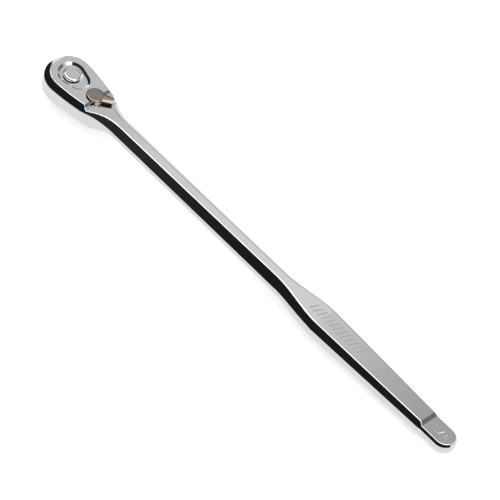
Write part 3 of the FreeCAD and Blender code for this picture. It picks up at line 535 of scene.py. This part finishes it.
def make_floor(studio):
    """Pale floor that the square's end and the handle's tail rest on."""
    rim = studio.floor
    floor = sheet("floor", [(-rim, -rim, 0), (rim, -rim, 0), (rim, rim, 0), (-rim, rim, 0)])
    foot = Vector((GEAR_BOX[1].x * SQUARE_EDGE, 0, GEAR_BOX[0].z))
    tilt = Matrix.Rotation(-floor_slope(foot), 4, "Y")
    floor.matrix_world = Matrix.Translation(foot) @ tilt
    material, tree, surface = finish_tree("floor_paper")
    grain = put(tree, "ShaderNodeTexNoise")
    place = put(tree, "ShaderNodeTexCoord")
    feed(tree, grain, Vector=place.outputs["Object"], Scale=900.0, Detail=3.0)
    feed(tree, surface, Base_Color=grey(PAPER_TONE), Specular_IOR_Level=0.1,
         Emission_Color=grey(1), Emission_Strength=PAPER_GLOW,
         Roughness=ranged(tree, grain.outputs[0], 0.3, 0.7, 0.8, 0.95))
    x = split_object(tree, place)[0]
    mirrored = put(tree, "ShaderNodeEmission")
    feed(tree, mirrored, Color=ranged(tree, x, *MIRROR_EDGE, MIRROR_DARK, MIRROR_PALE),
         Strength=1.0)
    path = put(tree, "ShaderNodeLightPath")
    blend = put(tree, "ShaderNodeMixShader")
    feed(tree, blend, i0=path.outputs["Is Glossy Ray"], i1=surface.outputs[0],
         i2=mirrored.outputs[0])
    tree.links.new(blend.outputs[0], tree.nodes["Material Output"].inputs[0])
    floor.data.materials.append(material)
    return floor


def make_card():
    """Long soft card that the level faces mirror: brightest over the shaft, dull at the tail."""
    centre = Vector((CARD_MIDDLE, 0, HANDLE_TOP)) + MIRRORED
    across = CARD_ACROSS * CARD_HALF_WIDTH
    along = Vector((CARD_HALF_LENGTH, 0, 0))
    card = sheet("soft_card", [centre - along - across, centre + along - across,
                               centre + along + across, centre - along + across])
    card.visible_camera = False
    card.visible_diffuse = False
    card.visible_shadow = False
    material = bpy.data.materials.new("soft_card_glow")
    material.use_nodes = True
    tree = material.node_tree
    tree.nodes.clear()
    x = split_object(tree, put(tree, "ShaderNodeTexCoord"))[0]
    first, last = CARD_TONES[0][0] + MIRRORED.x, CARD_TONES[-1][0] + MIRRORED.x
    stops = [((at + MIRRORED.x - first) / (last - first), tone) for at, tone in CARD_TONES]
    glow = put(tree, "ShaderNodeEmission")
    share = ranged(tree, x, first, last, shape="LINEAR")
    feed(tree, glow, Color=graded(tree, share, stops), Strength=1.0)
    out = put(tree, "ShaderNodeOutputMaterial")
    tree.links.new(glow.outputs[0], out.inputs[0])
    card.data.materials.append(material)
    return card


def make_light(studio):
    """Studio mirrored in the chrome: a strip of light overhead, grey behind, dark in front."""
    world = bpy.data.worlds.new("studio")
    bpy.context.scene.world = world
    world.use_nodes = True
    tree = world.node_tree
    tree.nodes.clear()
    x, y, z = split_object(tree, put(tree, "ShaderNodeTexCoord"), "Generated")
    lean = maths(tree, "ARCTAN2", y, maths(tree, "MAXIMUM", z, 0.0))
    share = ranged(tree, lean, -math.pi / 2, math.pi / 2, shape="LINEAR")
    stops = [((angle + 90) / 180, tone) for angle, tone in WORLD_TONES]
    ramp = graded(tree, share, stops, WORLD_BLUE)
    low = ranged(tree, z, *LOW_EDGE, 1.0, 0.0)
    in_front = ranged(tree, y, *FRONT_EDGE, 1.0, 0.0)
    behind = ranged(tree, y, *BEHIND_EDGE)
    past_nose = ranged(tree, x, *NOSE_EDGE, 1.0, 0.0)
    nose_side = maths(tree, "MULTIPLY", behind, past_nose)
    shaded = mixed(tree, maths(tree, "MULTIPLY", low, in_front), ramp, grey(DARK_CARD))
    lit = mixed(tree, maths(tree, "MULTIPLY", low, nose_side), shaded, grey(PALE_CARD))
    sky = put(tree, "ShaderNodeBackground")
    feed(tree, sky, Color=lit, Strength=studio.box)
    even = put(tree, "ShaderNodeBackground")
    feed(tree, even, Color=grey(1), Strength=studio.fill)
    rays = put(tree, "ShaderNodeLightPath").outputs
    matt_or_seen = maths(tree, "MAXIMUM", rays["Is Camera Ray"], rays["Is Diffuse Ray"])
    blend = put(tree, "ShaderNodeMixShader")
    feed(tree, blend, i0=matt_or_seen, i1=sky.outputs[0], i2=even.outputs[0])
    out = put(tree, "ShaderNodeOutputWorld")
    tree.links.new(blend.outputs[0], out.inputs[0])
    bpy.context.scene.view_settings.view_transform = "Standard"


def make_camera(studio):
    """Long lens that looks down on the head from the handle's near side, rolled a little."""
    right = CAMERA_RIGHT.normalized()
    back = right.cross(CAMERA_UP).normalized()
    up = back.cross(right)
    data = bpy.data.cameras.new("camera")
    data.lens = studio.lens
    data.clip_start, data.clip_end = CLIP_START, CLIP_END
    camera = linked("camera", data)
    turn = Matrix((right, up, back)).transposed().to_4x4()
    camera.matrix_world = Matrix.Translation(CAMERA_AIM + back * studio.away) @ turn
    bpy.context.scene.camera = camera


# ---- operators ----------------------------------------------------------------------------------
class RATCHET_OT_plating(bpy.types.Operator):
    """Give every CAD piece the finish of its material slot"""
    bl_idname = "ratchet.plating"
    bl_label = "Plate the Pieces"

    def execute(self, context):
        made = finishes()
        for row in frame["record"]["subparts"]:
            recoat(row["node"], made[row["material_slot"]])
        return {"FINISHED"}


class RATCHET_OT_groove_shade(bpy.types.Operator):
    """Lay a grey bar of painted shade on the floor of each slanted groove of the grip"""
    bl_idname = "ratchet.inlays"
    bl_label = "Lay the Painted Groove Shade"

    def execute(self, context):
        marks = context.scene.ratchet_marks
        values = {
            "Count": marks.grooves, "Pitch": marks.pitch, "Start": marks.start,
            "Length": marks.long, "Width": marks.wide, "Slant": -marks.slant,
            "Thickness": marks.thick, "Level": marks.level, "Crest": marks.crest,
            "Fall": marks.fall}
        mesh = grown("painted_groove_shade", groove_shade_tree(finishes()["mark_enamel"]), values)
        if len(mesh.polygons) < marks.grooves * 10:
            raise RuntimeError("the groove inlays came out short")
        piece("painted_groove_shade", mesh, "handle")
        return {"FINISHED"}


class RATCHET_OT_stage(bpy.types.Operator):
    """Set the floor, the light and the camera"""
    bl_idname = "ratchet.stage"
    bl_label = "Set the Stage"

    def execute(self, context):
        studio = context.scene.ratchet_studio
        floor = make_floor(studio)
        card = make_card()
        make_light(studio)
        make_camera(studio)
        return {"FINISHED"}


STEPS = [RATCHET_OT_plating, RATCHET_OT_groove_shade, RATCHET_OT_stage]


class RATCHET_PT_panel(bpy.types.Panel):
    """Lists the steps in order."""
    bl_idname = "RATCHET_PT_panel"
    bl_label = "Ratchet Wrench"
    bl_space_type = "VIEW_3D"
    bl_region_type = "UI"
    bl_category = "Ratchet"

    def draw(self, context):
        for step in STEPS:
            self.layout.operator(step.bl_idname)


GROUPS = {"ratchet_chrome": ChromeFinish, "ratchet_steel": SteelFinish,
          "ratchet_marks": MarkSizes, "ratchet_studio": StudioSettings}


def register():
    for cls in [*GROUPS.values(), *STEPS, RATCHET_PT_panel]:
        bpy.utils.register_class(cls)
    for name, cls in GROUPS.items():
        setattr(bpy.types.Scene, name, PointerProperty(type=cls))


def unregister():
    for name in GROUPS:
        delattr(bpy.types.Scene, name)
    for cls in reversed([*GROUPS.values(), *STEPS, RATCHET_PT_panel]):
        bpy.utils.unregister_class(cls)


def main():
    register()
    for step in STEPS:
        group, name = step.bl_idname.split(".")
        getattr(getattr(bpy.ops, group), name)()


if __name__ == "__main__":
    main()
